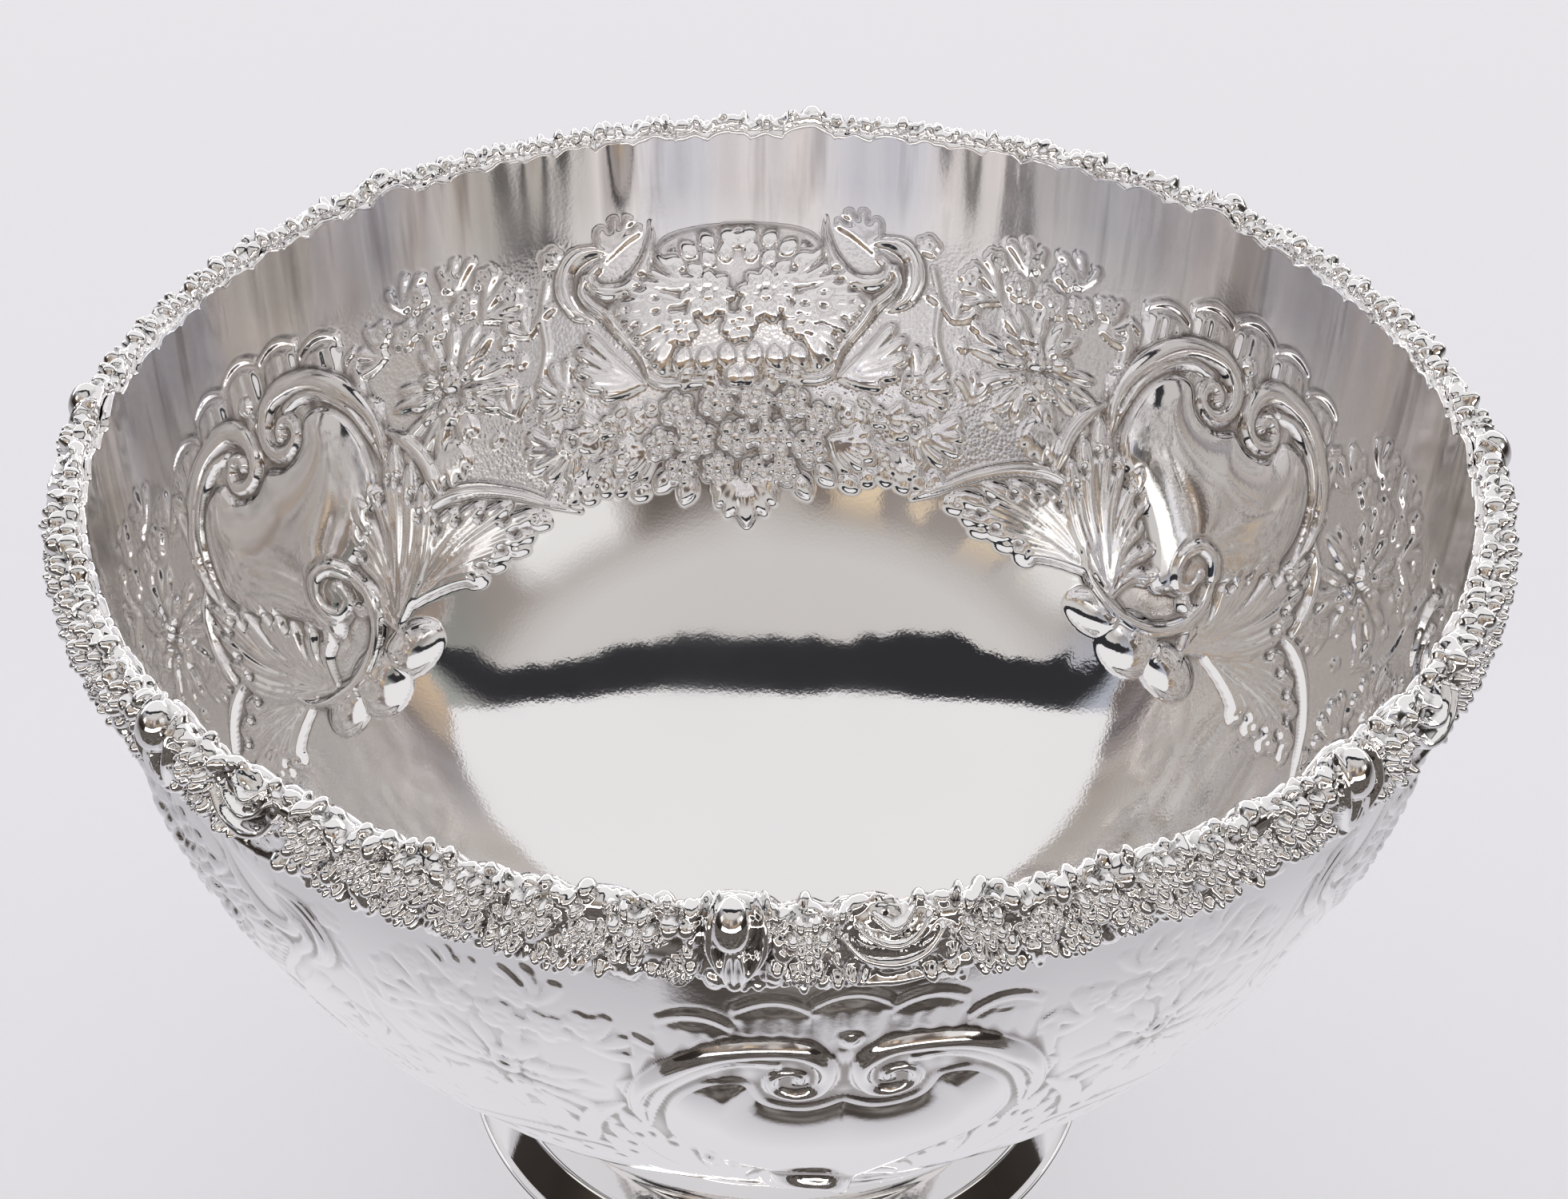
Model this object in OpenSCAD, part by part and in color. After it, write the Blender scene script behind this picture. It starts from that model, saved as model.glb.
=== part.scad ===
/* [Bowl] */
// Radius of the mouth, inside the sheet
mouth_r = 180; // [120:1:260]
// Depth of the bowl, from the mouth to the inside of its bottom
bowl_depth = 198; // [120:1:280]
// Roundness of the bowl's profile: 2 is an ellipse, more is fuller
fullness = 2.21; // [2:0.01:2.8]
// Thickness of the silver-plated sheet
sheet_t = 1.6; // [1:0.1:3]
// Flat steps along the profile
profile_steps = 36; // [16:1:60]

/* [Rim border] */
// Number of cast sections soldered end to end
border_sections = 8; // [6:1:12]
// Height of a casting
border_h = 25; // [15:1:40]
// How far a casting stands out from the sheet at its fattest
border_out = 10; // [5:0.5:16]
// How far the casting's crest stands above the mouth
border_crest = 3; // [0:0.5:6]
// Diameter of the wire that hides the joint of sheet and castings
rim_wire_d = 3; // [2:0.1:5]

/* [Foot] */
// Height from the table to the inside of the bowl's bottom
bottom_z = 39; // [25:1:80]
// Outer radius of the base wire
foot_r = 99.5; // [70:0.5:150]
// Thickness of the spun foot
foot_t = 1.4; // [1:0.1:3]
// Height of the base wire
base_wire_h = 2.2; // [1:0.1:5]
// Width of the base wire
base_wire_w = 7; // [4:0.5:12]
// Height of the sloping riser above the base wire
riser_h = 10; // [5:0.5:20]
// Lean of the riser from upright, in degrees
riser_lean = 36; // [5:1:45]
// Width of the flat shoulder inside the riser
shoulder_w = 6.5; // [4:0.5:20]
// Radius of the neck, where it meets the collar
neck_r = 57; // [40:0.5:70]

/* [Collar] */
// Height of the collar's plain band
collar_h = 3.6; // [2:0.1:8]
// Width of the collar's band
collar_w = 4; // [2:0.1:8]

/* [Hidden] */
$fn = 96;
ROUND_FN = 240;
CURVE_STEPS = 12;
BACK_STEPS = 4;
JOINT_STEPS = 6;
BORDER_EDGE_T = 1;
BORDER_LAND = 2;
WIRE_GAP = 0.6;
COLLAR_ROUND = 1.4;
SKIRT_INSET = 2.6;
RISER_ROUND = 2.4;
SHOULDER_RISE = 1;
SILVER = "silver";
BRIGHT = "gainsboro";
mouth_z = bottom_z + bowl_depth;
section_deg = 360 / border_sections;
border_bottom_z = mouth_z + border_crest - border_h;
neck_z = collar_bottom_z();

function border_name(i) = str("border_section_", i);

// Radius of a superellipse of semi-axes r and depth, at height z above its bottom
function shell_r(r, depth, z) = r * pow(1 - pow((depth - z) / depth, fullness), 1 / fullness);

// Radius of the bowl's outside at height z over the table
function outside_r(z) =
    shell_r(mouth_r + sheet_t, bowl_depth + sheet_t, z - (bottom_z - sheet_t));

// Points of a quarter-turned superellipse, from the mouth down to the axis
function profile(r, depth, z0) = [
    for (i = [0:profile_steps])
        let (a = 90 * i / profile_steps)
        [r * pow(cos(a), 2 / fullness), z0 + depth * (1 - pow(sin(a), 2 / fullness))]
];

// The collar's top edge touches the bowl; its flat underside carries on from the neck
function collar_top_z() = bowl_side_z(neck_r);
function collar_bottom_z() = collar_top_z() - collar_h;

// Height of the bowl's outside at radius r
function bowl_side_z(r) =
    let (d = bowl_depth + sheet_t)
    bottom_z + bowl_depth - d * pow(1 - pow(r / (mouth_r + sheet_t), fullness), 1 / fullness);

function reversed(points) = [for (i = [len(points) - 1:-1:0]) points[i]];

// Points of an elliptic arc from angle a0 to a1, without its first point
function arc(cx, cz, rx, rz, a0, a1) = [
    for (i = [1:CURVE_STEPS])
        let (a = a0 + (a1 - a0) * i / CURVE_STEPS)
        [cx + rx * cos(a), cz + rz * sin(a)]
];

// The sheet shell, closed at the bottom and open at the mouth
module bowl() {
    color(SILVER)
    rotate_extrude($fn = ROUND_FN)
    polygon(concat(
        profile(mouth_r + sheet_t, bowl_depth + sheet_t, bottom_z - sheet_t),
        reversed(profile(mouth_r, bowl_depth, bottom_z))
    ));
}

// Round wire soldered on top of the sheet's edge
module rim_wire() {
    color(BRIGHT)
    translate([0, 0, mouth_z + rim_wire_d / 2])
    rotate_extrude($fn = ROUND_FN)
    translate([mouth_r + sheet_t / 2, 0])
    circle(d = rim_wire_d);
}

// Cross-section of a cast border section: its back follows the sheet, its face is a fat roll
function border_section_points() =
    let (
        mid_z = border_bottom_z + border_h / 2,
        lip_r = mouth_r + sheet_t / 2 + rim_wire_d / 2 + WIRE_GAP,
        back = [for (i = [0:BACK_STEPS])
            let (z = border_bottom_z + (mouth_z - border_bottom_z) * i / BACK_STEPS)
            [outside_r(z), z]]
    )
    concat(
        reversed(back),
        [[outside_r(border_bottom_z) + BORDER_EDGE_T, border_bottom_z]],
        arc(mouth_r + sheet_t + BORDER_LAND, mid_z, border_out - BORDER_LAND, border_h / 2, -90, 90),
        [[lip_r, mouth_z + border_crest], [lip_r, mouth_z]]
    );

// Section 1 is centred on the front, and the rest follow anticlockwise seen from above
module border_section(i) {
    color(i % 2 == 0 ? SILVER : BRIGHT)
    rotate([0, 0, (i - 1.5) * section_deg - 90])
    rotate_extrude(angle = section_deg, $fn = ROUND_FN)
    polygon(border_section_points());
}

// Plain band between the foot's neck and the bowl
module neck_collar() {
    inner_r = neck_r - foot_t;
    outer_r = neck_r + collar_w;
    side = [for (i = [0:JOINT_STEPS])
        let (r = inner_r + (outer_r - inner_r) * i / JOINT_STEPS)
        [r, bowl_side_z(r)]];
    color(BRIGHT)
    rotate_extrude($fn = ROUND_FN)
    polygon(concat(
        [[inner_r, neck_z]],
        side,
        arc(outer_r, (neck_z + bowl_side_z(outer_r)) / 2,
            COLLAR_ROUND, (bowl_side_z(outer_r) - neck_z) / 2, 90, -90)
    ));
}

// Outer line of the spun foot, from its skirt up to the neck, drawn inset by the sheet for the inside
function foot_line(inset) =
    let (
        skirt_r = foot_r - SKIRT_INSET,
        top_z = base_wire_h + riser_h,
        round_z = top_z - RISER_ROUND,
        lean_in = (round_z - base_wire_h) * tan(riser_lean) + RISER_ROUND / cos(riser_lean),
        round_x = skirt_r - lean_in,
        bend_r = RISER_ROUND - inset,
        shoulder_r = round_x - shoulder_w,
        cove_r = shoulder_r - neck_r,
        cove_h = neck_z - top_z - SHOULDER_RISE
    )
    concat(
        [
            [skirt_r - inset / cos(riser_lean), base_wire_h],
            [round_x + bend_r * cos(riser_lean), round_z + bend_r * sin(riser_lean)]
        ],
        arc(round_x, round_z, bend_r, bend_r, riser_lean, 90),
        [[shoulder_r, top_z + SHOULDER_RISE - inset]],
        arc(shoulder_r, neck_z, cove_r + inset, cove_h + inset, -90, -180)
    );

module foot() {
    color(SILVER)
    rotate_extrude($fn = ROUND_FN)
    polygon(concat(foot_line(0), reversed(foot_line(foot_t))));
}

// Flat half-round wire that stiffens the foot's edge and stands on the table
module base_wire() {
    color(BRIGHT)
    rotate_extrude($fn = ROUND_FN)
    polygon(concat(
        [[foot_r - base_wire_w, 0], [foot_r - base_wire_h / 2, 0]],
        arc(foot_r - base_wire_h / 2, base_wire_h / 2, base_wire_h / 2, base_wire_h / 2, -90, 90),
        [[foot_r - base_wire_w, base_wire_h]]
    ));
}

bowl();
rim_wire();
neck_collar();
foot();
base_wire();
for (i = [1:border_sections])
    border_section(i);
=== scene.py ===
"""Silver-plated punch bowl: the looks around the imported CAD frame.

Azimuth A runs clockwise from +Y as seen from above, so a point at radius r stands at (r sin A, r cos A).
The relief is worked out in millimetres and goes into the meshes in metres.
"""

import math

import bpy
import numpy as np
from mathutils import Matrix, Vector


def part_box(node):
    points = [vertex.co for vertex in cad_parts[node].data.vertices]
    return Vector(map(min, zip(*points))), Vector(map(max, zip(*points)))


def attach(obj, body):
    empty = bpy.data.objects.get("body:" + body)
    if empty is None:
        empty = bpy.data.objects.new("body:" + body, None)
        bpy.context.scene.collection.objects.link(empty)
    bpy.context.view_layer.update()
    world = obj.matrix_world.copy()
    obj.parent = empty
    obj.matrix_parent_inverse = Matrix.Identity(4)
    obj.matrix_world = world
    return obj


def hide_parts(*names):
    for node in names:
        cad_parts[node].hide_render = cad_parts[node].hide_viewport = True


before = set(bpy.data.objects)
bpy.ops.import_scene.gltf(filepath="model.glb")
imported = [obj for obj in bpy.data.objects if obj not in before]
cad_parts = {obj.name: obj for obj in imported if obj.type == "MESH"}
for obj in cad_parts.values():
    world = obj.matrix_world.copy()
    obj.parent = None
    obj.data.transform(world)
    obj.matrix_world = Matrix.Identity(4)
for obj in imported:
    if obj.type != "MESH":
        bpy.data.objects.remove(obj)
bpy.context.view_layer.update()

# ---- sizes, in millimetres

M_TO_MM = 1000.0
SHEET = 1.6
FULLNESS = 2.21
REPEATS = 3
PERIOD = 360.0 / REPEATS
SECTIONS = 8
SECTION_DEG = 360.0 / SECTIONS
DOME_AT = 7.5
BOWL_LOW, BOWL_HIGH = (np.array(corner) * M_TO_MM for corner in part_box("bowl"))
MOUTH_R = BOWL_HIGH[0] - SHEET
MOUTH_Z = BOWL_HIGH[2]
BOTTOM_Z = BOWL_LOW[2] + SHEET
DEPTH = MOUTH_Z - BOTTOM_Z
COLUMNS = 1800
PERIOD_COLUMNS = COLUMNS // REPEATS
WALL_STEP = 0.62
DECORATED_DEPTH = 158.0
BOTTOM_ROWS = 60


# ---- the bowl's curve

def bowl_curve():
    """Arc length from the mouth, radius, height and outward normal along the inside of the sheet."""
    a = np.linspace(0, math.pi / 2, 6001)
    r = MOUTH_R * np.cos(a) ** (2 / FULLNESS)
    z = MOUTH_Z - DEPTH * np.sin(a) ** (2 / FULLNESS)
    s = np.concatenate([[0], np.cumsum(np.hypot(np.diff(r), np.diff(z)))])
    even = np.linspace(0, s[-1], 3001)
    r, z = np.interp(even, s, r), np.interp(even, s, z)
    dr, dz = np.gradient(r, even), np.gradient(z, even)
    length = np.hypot(dr, dz)
    return even, r, z, -dz / length, dr / length


CURVE_S, CURVE_R, CURVE_Z, CURVE_NR, CURVE_NZ = bowl_curve()


def at(s, values):
    """One of the curve's values at arc length s."""
    return np.interp(s, CURVE_S, values)


# ---- drawing relief on a panel

COVERED = 0.02
TINY = 1e-9
BELOW_ALL = -9.0


class Panel:
    """A patch of metal seen from inside: x to the right, y down from its top edge, in millimetres.

    height is how far the metal stands out from the plain surface, base the level that a motif stands on,
    and worked is 1 where a motif covers the ground.
    """

    def __init__(self, x, y):
        self.x, self.y = x, y
        self.height = np.zeros_like(x)
        self.base = np.zeros_like(x)
        self.worked = np.zeros_like(x)

    def near(self, x0, x1, y0, y1):
        """Indices of the points in a box."""
        inside = (self.x >= x0) & (self.x <= x1) & (self.y >= y0) & (self.y <= y1)
        return np.nonzero(inside)

    def around(self, x, y, wide, tall):
        """Indices of the points about (x, y), and how far each is to its right and below it."""
        spot = self.near(x - wide, x + wide, y - tall, y + tall)
        return spot, self.x[spot] - x, self.y[spot] - y

    def top(self, spot, rise, worked=None):
        """Raises the points to base + rise where that is higher than what is there."""
        self.height[spot] = np.maximum(self.height[spot], self.base[spot] + rise)
        self.worked[spot] = np.maximum(self.worked[spot], (rise > COVERED) if worked is None else worked)

    def seen_as(self, x):
        """The same metal with another x, sharing its heights."""
        twin = Panel.__new__(Panel)
        twin.__dict__.update(self.__dict__)
        twin.x = x
        return twin

    def halves(self):
        """Each side of the middle as (side, panel), where the left one is seen mirrored."""
        return (-1, self.seen_as(-self.x)), (1, self)


def way(angle):
    """A step of 1 in a direction: 0 degrees to the right and 90 down."""
    return math.cos(math.radians(angle)), math.sin(math.radians(angle))


def smooth_line(points, steps=8):
    """A Catmull-Rom curve through the points."""
    p = np.array(points, float)
    p = np.vstack([2 * p[0] - p[1], p, 2 * p[-1] - p[-2]])
    t = np.linspace(0, 1, steps, endpoint=False)[:, None]
    pieces = []
    for a, b, c, d in zip(p[:-3], p[1:-2], p[2:-1], p[3:]):
        bend, twist = 2 * a - 5 * b + 4 * c - d, 3 * b - a - 3 * c + d
        pieces.append(0.5 * (2 * b + (c - a) * t + bend * t**2 + twist * t**3))
    return np.vstack(pieces + [p[-2:-1]])


def to_line(x, y, line):
    """Distance to a polyline, and the share of its length at the nearest point."""
    steps = np.diff(line, axis=0)
    lengths = np.hypot(steps[:, 0], steps[:, 1])
    starts = np.concatenate([[0], np.cumsum(lengths)])
    best = np.full(x.shape, np.inf)
    share = np.zeros(x.shape)
    for (ax, ay), (dx, dy), length, start in zip(line[:-1], steps, lengths, starts):
        if length < TINY:
            continue
        t = np.clip(((x - ax) * dx + (y - ay) * dy) / length**2, 0, 1)
        d = np.hypot(x - ax - t * dx, y - ay - t * dy)
        closer = d < best
        best = np.where(closer, d, best)
        share = np.where(closer, start + t * length, share)
    return best, share / starts[-1]


def vein_line(q, breadth, vein):
    """How deep the line down a leaf's middle is cut, q being 0 there and 1 at the leaf's edge."""
    return vein * np.exp(-((q / breadth) ** 2))


def tube(p, points, width, rise, taper=((0, 1), (1, 1)), vein=0.0, sharp=0.5):
    """A raised bar along a curve. width is half its breadth; taper scales breadth and rise along it."""
    line = smooth_line(points)
    w = width * max(k for _, k in taper)
    spot = p.near(line[:, 0].min() - w, line[:, 0].max() + w, line[:, 1].min() - w, line[:, 1].max() + w)
    d, share = to_line(p.x[spot], p.y[spot], line)
    k = np.interp(share, *zip(*taper))
    q = np.clip(d / np.maximum(width * k, 1e-6), 0, 1)
    body = (1 - q**2) ** sharp
    body = body - vein_line(q, 0.22, vein) * (body > 0)
    p.top(spot, rise * np.sqrt(np.clip(k, 0, 1)) * body)


def petal(p, x, y, angle, length, width, rise, vein=0.3, fullest=0.62):
    """A leaf or petal from (x, y) outwards. fullest is the share of its length where it is widest."""
    c, s = way(angle)
    spot, dx, dy = p.around(x, y, length + width, length + width)
    t = (dx * c + dy * s) / length
    q = dy * c - dx * s
    inside = (t > 0) & (t < 1)
    t = np.clip(t, 1e-4, 1 - 1e-4)
    power = math.log(0.5) / math.log(fullest)
    w = width * np.sin(math.pi * t**power) ** 0.75
    q = np.clip(np.abs(q) / np.maximum(w, 1e-3), 0, 1)
    body = (1 - q**2) ** 0.75 * np.clip(w / width, 0, 1) ** 0.6
    body = body - vein_line(q, 0.24, vein) * np.clip(1.15 - t, 0, 1)
    p.top(spot, np.where(inside, rise * body, BELOW_ALL), np.where(inside & (q < 1), 1.0, 0.0))


def ball(p, x, y, radius, rise, stretch=1.0, angle=0.0):
    """A round or oval boss."""
    c, s = way(angle)
    reach = radius * max(stretch, 1)
    spot, dx, dy = p.around(x, y, reach, reach)
    d2 = ((dx * c + dy * s) / (radius * stretch)) ** 2 + ((dy * c - dx * s) / radius) ** 2
    p.top(spot, np.where(d2 < 1, rise * np.sqrt(np.clip(1 - d2, 0, 1)), BELOW_ALL), (d2 < 1) * 1.0)


def clear(p, x, y, wide, tall):
    """Takes what is there nearly down to the ground inside an oval."""
    spot, dx, dy = p.around(x, y, wide, tall)
    lowered = p.base[spot] + 0.2 * (p.height[spot] - p.base[spot])
    p.height[spot] = np.where((dx / wide) ** 2 + (dy / tall) ** 2 < 1, lowered, p.height[spot])


def drill(p, x, y, radius, depth):
    """A small punched eye."""
    spot, dx, dy = p.around(x, y, 3 * radius, 3 * radius)
    p.height[spot] -= depth * np.exp(-(dx**2 + dy**2) / radius**2)


def rosette(p, x, y, radius, petals, rise, turn=0.0, boss=0.28):
    """A small round flower with a boss and a punched eye."""
    for i in range(petals):
        a = turn + 360.0 * i / petals
        c, s = way(a)
        out, breadth = 0.12 * radius, 0.78 * radius * math.sin(math.pi / petals)
        petal(p, x + out * c, y + out * s, a, 0.88 * radius, breadth, rise, vein=0.25, fullest=0.6)
    ball(p, x, y, radius * boss, rise * 1.25)
    drill(p, x, y, radius * boss * 0.35, rise * 0.5)


def cup_flower(p, x, y, radius, rise, turn):
    """A round blossom: a ring of five drilled balls about a deep eye."""
    for i in range(5):
        c, s = way(turn + 72.0 * i)
        ball(p, x + 0.58 * radius * c, y + 0.58 * radius * s, 0.42 * radius, rise)
        drill(p, x + 0.6 * radius * c, y + 0.6 * radius * s, 0.17 * radius, rise * 0.45)
    drill(p, x, y, 0.26 * radius, rise * 0.9)
    ball(p, x, y, 0.12 * radius, rise * 0.7)


def shell(p, x, y, angle, radius, spread, lobes, rise):
    """A fan of round-ended ribs from (x, y)."""
    width = math.radians(spread / lobes) * radius * 0.62
    for i in range(lobes):
        a = angle + spread * ((i + 0.5) / lobes - 0.5)
        petal(p, x, y, a, radius, width, rise, vein=0.12, fullest=0.72)


def inside_of(x, y, outline):
    """True for the points inside a closed outline."""
    hit = np.zeros(x.shape, bool)
    for (ax, ay), (bx, by) in zip(outline, np.roll(outline, -1, axis=0)):
        if ay == by:
            continue
        crosses = (ay > y) != (by > y)
        hit ^= crosses & (x < ax + (y - ay) * (bx - ax) / (by - ay))
    return hit


def cushion(p, points, rise, shoulder, smooth=True):
    """Lifts the base inside a closed outline to a rounded plateau, and clears what is there.

    A smooth one counts as worked all over, so its ground stays polished.
    """
    outline = smooth_line(list(points) + [points[0]], 6)[:-1]
    spot = p.near(outline[:, 0].min(), outline[:, 0].max(), outline[:, 1].min(), outline[:, 1].max())
    x, y = p.x[spot], p.y[spot]
    hit = inside_of(x, y, outline)
    d, _ = to_line(x, y, np.vstack([outline, outline[:1]]))
    q = np.clip(d / shoulder, 0, 1)
    p.base[spot] += np.where(hit, rise * np.sqrt(1 - (1 - q) ** 2), 0)
    p.height[spot] = np.where(hit, p.base[spot], p.height[spot])
    if smooth:
        p.worked[spot] = np.maximum(p.worked[spot], hit * 1.0)


# ---- the wall's pattern

ARM = [(43.4, 86), (46.2, 74), (43.6, 63), (36.5, 53.5), (28, 47), (19, 44.6), (10.5, 45.2), (5.0, 50),
       (3.6, 56), (5.6, 61.6), (10.4, 63.6), (15.2, 61.4), (16, 57), (13, 54.0), (9.6, 55.4), (9.2, 58)]
ARM_TAPER = ((0, 0.1), (0.08, 0.45), (0.3, 1), (0.55, 1), (0.72, 0.72), (0.88, 0.5), (1, 0.42))
FINGER_TAPER = ((0, 0.35), (0.4, 0.7), (0.85, 1), (0.95, 0.75), (1, 0.15))
INNER_RIB = [(43, 85), (42, 74), (39, 64), (31.5, 55), (22.5, 50.6), (15, 51.2)]
SHIELD = [(0, 64), (8, 67.5), (16, 65), (21, 57), (30, 57.5), (37, 65), (39.5, 76), (38, 88), (32, 98),
          (22, 106), (12, 111), (4, 119), (-5, 123), (-12, 113), (-19, 105), (-28, 97), (-36, 91),
          (-40, 80), (-37.5, 66), (-30, 57.5), (-21, 57), (-16, 65), (-8, 67.5)]
HOOK = [(-36, 122), (-28, 131.5), (-14, 136.8), (-1, 136.2), (9, 130.6), (14.6, 122), (14.2, 112),
        (9.6, 105), (2.6, 103.6), (-1.6, 108), (-1.6, 114), (2.4, 118.6), (7.4, 116.4), (8, 111)]
CLIMBING_TIPS = [(6.5, 119.5), (12.5, 111.5), (20, 106), (24, 98.5), (29.5, 91.5), (37.5, 90), (45, 84.5),
                 (49.5, 80), (52.5, 88.5), (54, 97), (52, 105)]
LEVEL_TIPS = [(50, 110.5), (60, 109.4), (70, 111), (79, 114.5), (86.5, 120.5), (80, 127), (69, 129.6),
              (57, 133)]


def fan_of_lobes(p):
    """The scalloped shell that crowns the plain cartouche."""
    lobe, centre, lobes_each_way, lip_depth = 17.0, -1.0, 2.8, 5.4
    spot = p.near(-52, 52, 20, 62)
    x, y = p.x[spot], p.y[spot]
    place = (x - centre) / lobe
    number = np.round(place)
    f = place - number
    depth = y - (25.2 + 0.0068 * (number * lobe) ** 2 + 15.0 * f**2)
    inside = (depth > 0) & (np.abs(place) < lobes_each_way)
    lip, second = (rise * np.sqrt(np.clip(1 - ((depth - middle) / half) ** 2, 0, 1))
                   for middle, half, rise in ((1.6, 1.6, 1.25), (4.6, 1.1, 0.7)))
    ribs = 0.2 * np.cos(2 * math.pi * 3.5 * f) * np.clip((depth - 5) / 3, 0, 1)
    flutes = 1.3 * np.cos(math.pi * f) ** 0.6 + ribs
    body = np.maximum(np.maximum(lip, second), np.where(depth > lip_depth, flutes, 0.3))
    p.top(spot, np.where(inside, body * np.clip(1.25 - depth / 34, 0, 1), BELOW_ALL), inside * 1.0)


def finger(p, start, tip, bow, width, rise, vein=0.3):
    """One long round-ended flute of a leaf. bow is how far its middle stands off the straight line."""
    (ax, ay), (bx, by) = start, tip
    length = math.hypot(bx - ax, by - ay)
    mid_x = 0.45 * ax + 0.55 * bx - bow * (by - ay) / length
    mid_y = 0.45 * ay + 0.55 * by + bow * (bx - ax) / length
    tube(p, [start, (mid_x, mid_y), tip], width, rise, FINGER_TAPER, vein, 0.75)


def eye(p, x, y, angle, length, depth):
    """A drilled slot between two fingers of a leaf."""
    c, s = way(angle)
    for share in (-0.33, 0, 0.33):
        drill(p, x + share * length * c, y + share * length * s, 0.85, depth * 0.6)


def leaf(p, base, tips, bow, width, rise):
    """A broad leaf: flutes from one foot to a row of tips, with a slot behind each notch."""
    for tip in tips:
        finger(p, base, tip, bow, width, rise)
    for (ax, ay), (bx, by) in zip(tips[:-1], tips[1:]):
        x, y = 0.5 * (ax + bx), 0.5 * (ay + by)
        x, y = x + 0.16 * (base[0] - x), y + 0.16 * (base[1] - y)
        eye(p, x, y, math.degrees(math.atan2(base[1] - y, base[0] - x)), 3.0, rise * 1.2)


def plain_cartouche(p):
    """The shield between its scrolls, with a crown of lobes above it and leaves and clouds about it."""
    fan_of_lobes(p)
    cushion(p, SHIELD, 4.6, 20.0)
    for _, half in p.halves():
        tube(half, INNER_RIB, 1.9, 2.3, ((0, 0.2), (0.3, 0.8), (0.8, 1), (1, 0.9)), sharp=0.7)
        tube(half, ARM, 3.9, 3.9, ARM_TAPER, sharp=0.62)
        ball(half, 9.6, 57.6, 1.9, 2.6)
    petal(p, 0, 54, -90, 10, 2.6, 1.8)
    ball(p, -1.0, 42.0, 3.1, 2.6)
    petal(p, -1.0, 40, -90, 7, 2.4, 1.3)
    for side, half in p.halves():
        leaves_beside_shield(p, side, half)
    tube(p, HOOK, 2.6, 3.3, ((0, 0.25), (0.2, 0.7), (0.5, 1), (0.75, 0.85), (1, 0.55)), sharp=0.6)
    ball(p, 7.6, 111, 1.7, 2.6)
    for x, y, across, tall in ((-18.5, 140.2, 12.4, 7.0), (17, 141.4, 13.4, 7.8), (-1.6, 142.6, 13.0, 10.2)):
        ball(p, x, y, tall, 2.1, across / tall)
    for x, y in ((-11.6, 139.5), (9.4, 140.0), (18.5, 138.2), (-2.6, 139.0)):
        petal(p, x, y - 4, 90, 7, 1.4, 2.5, 0.0)


def leaves_beside_shield(p, side, half):
    """The acanthus that climbs one side of the plain cartouche, and the level leaf below it."""
    tube(half, [(49, 75.5), (54.5, 82), (57.4, 91), (57, 103)], 2.9, 2.1,
         ((0, 0.3), (0.25, 1), (0.8, 1), (1, 0.5)), sharp=0.7)
    leaf(half, (17, 134), CLIMBING_TIPS, 3.5, 3.1, 2.2)
    leaf(half, (26, 129.5), LEVEL_TIPS, -1.5, 3.5, 1.9)
    for x, y in ((61, 131.4), (71.5, 129.6), (52, 133.6), (83.5, 124)):
        ball(p, side * x, y, 3.0, 1.1, 1.5, 12)
        drill(p, side * x, y - 0.6, 0.8, 0.7)
    tube(half, [(49, 106), (58, 104.4), (70, 106.4), (83, 113), (92, 120), (99, 124.5)], 2.5, 2.1,
         ((0, 0.5), (0.3, 1), (0.7, 0.8), (1, 0.2)), sharp=0.7)


OUTLINE = [(52.3, 46.7), (53.8, 51.2), (51, 56), (46.6, 60), (41.9, 66.8), (36.6, 73.6), (33.4, 79),
           (31.4, 84.2), (26.5, 87), (17.5, 87.6), (10, 88.2), (5.4, 91), (0, 92.2)]
HOOK_SCROLL = [(44, 38.6), (50, 37.4), (56, 39), (59.6, 44), (59.8, 51), (56.4, 57.4), (51, 61.4)]
HOOK_LEAF = [(47.5, 43), (50.6, 46.5), (48.5, 51), (42, 52.8), (36, 50), (31.6, 44), (29.6, 36), (29.4, 29)]
FIELD = [(0, 91), (6, 89), (11, 87), (26, 86), (31, 83), (36, 73), (46, 60), (40, 54), (32, 48), (27, 38),
         (18, 34), (0, 33)]


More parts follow.
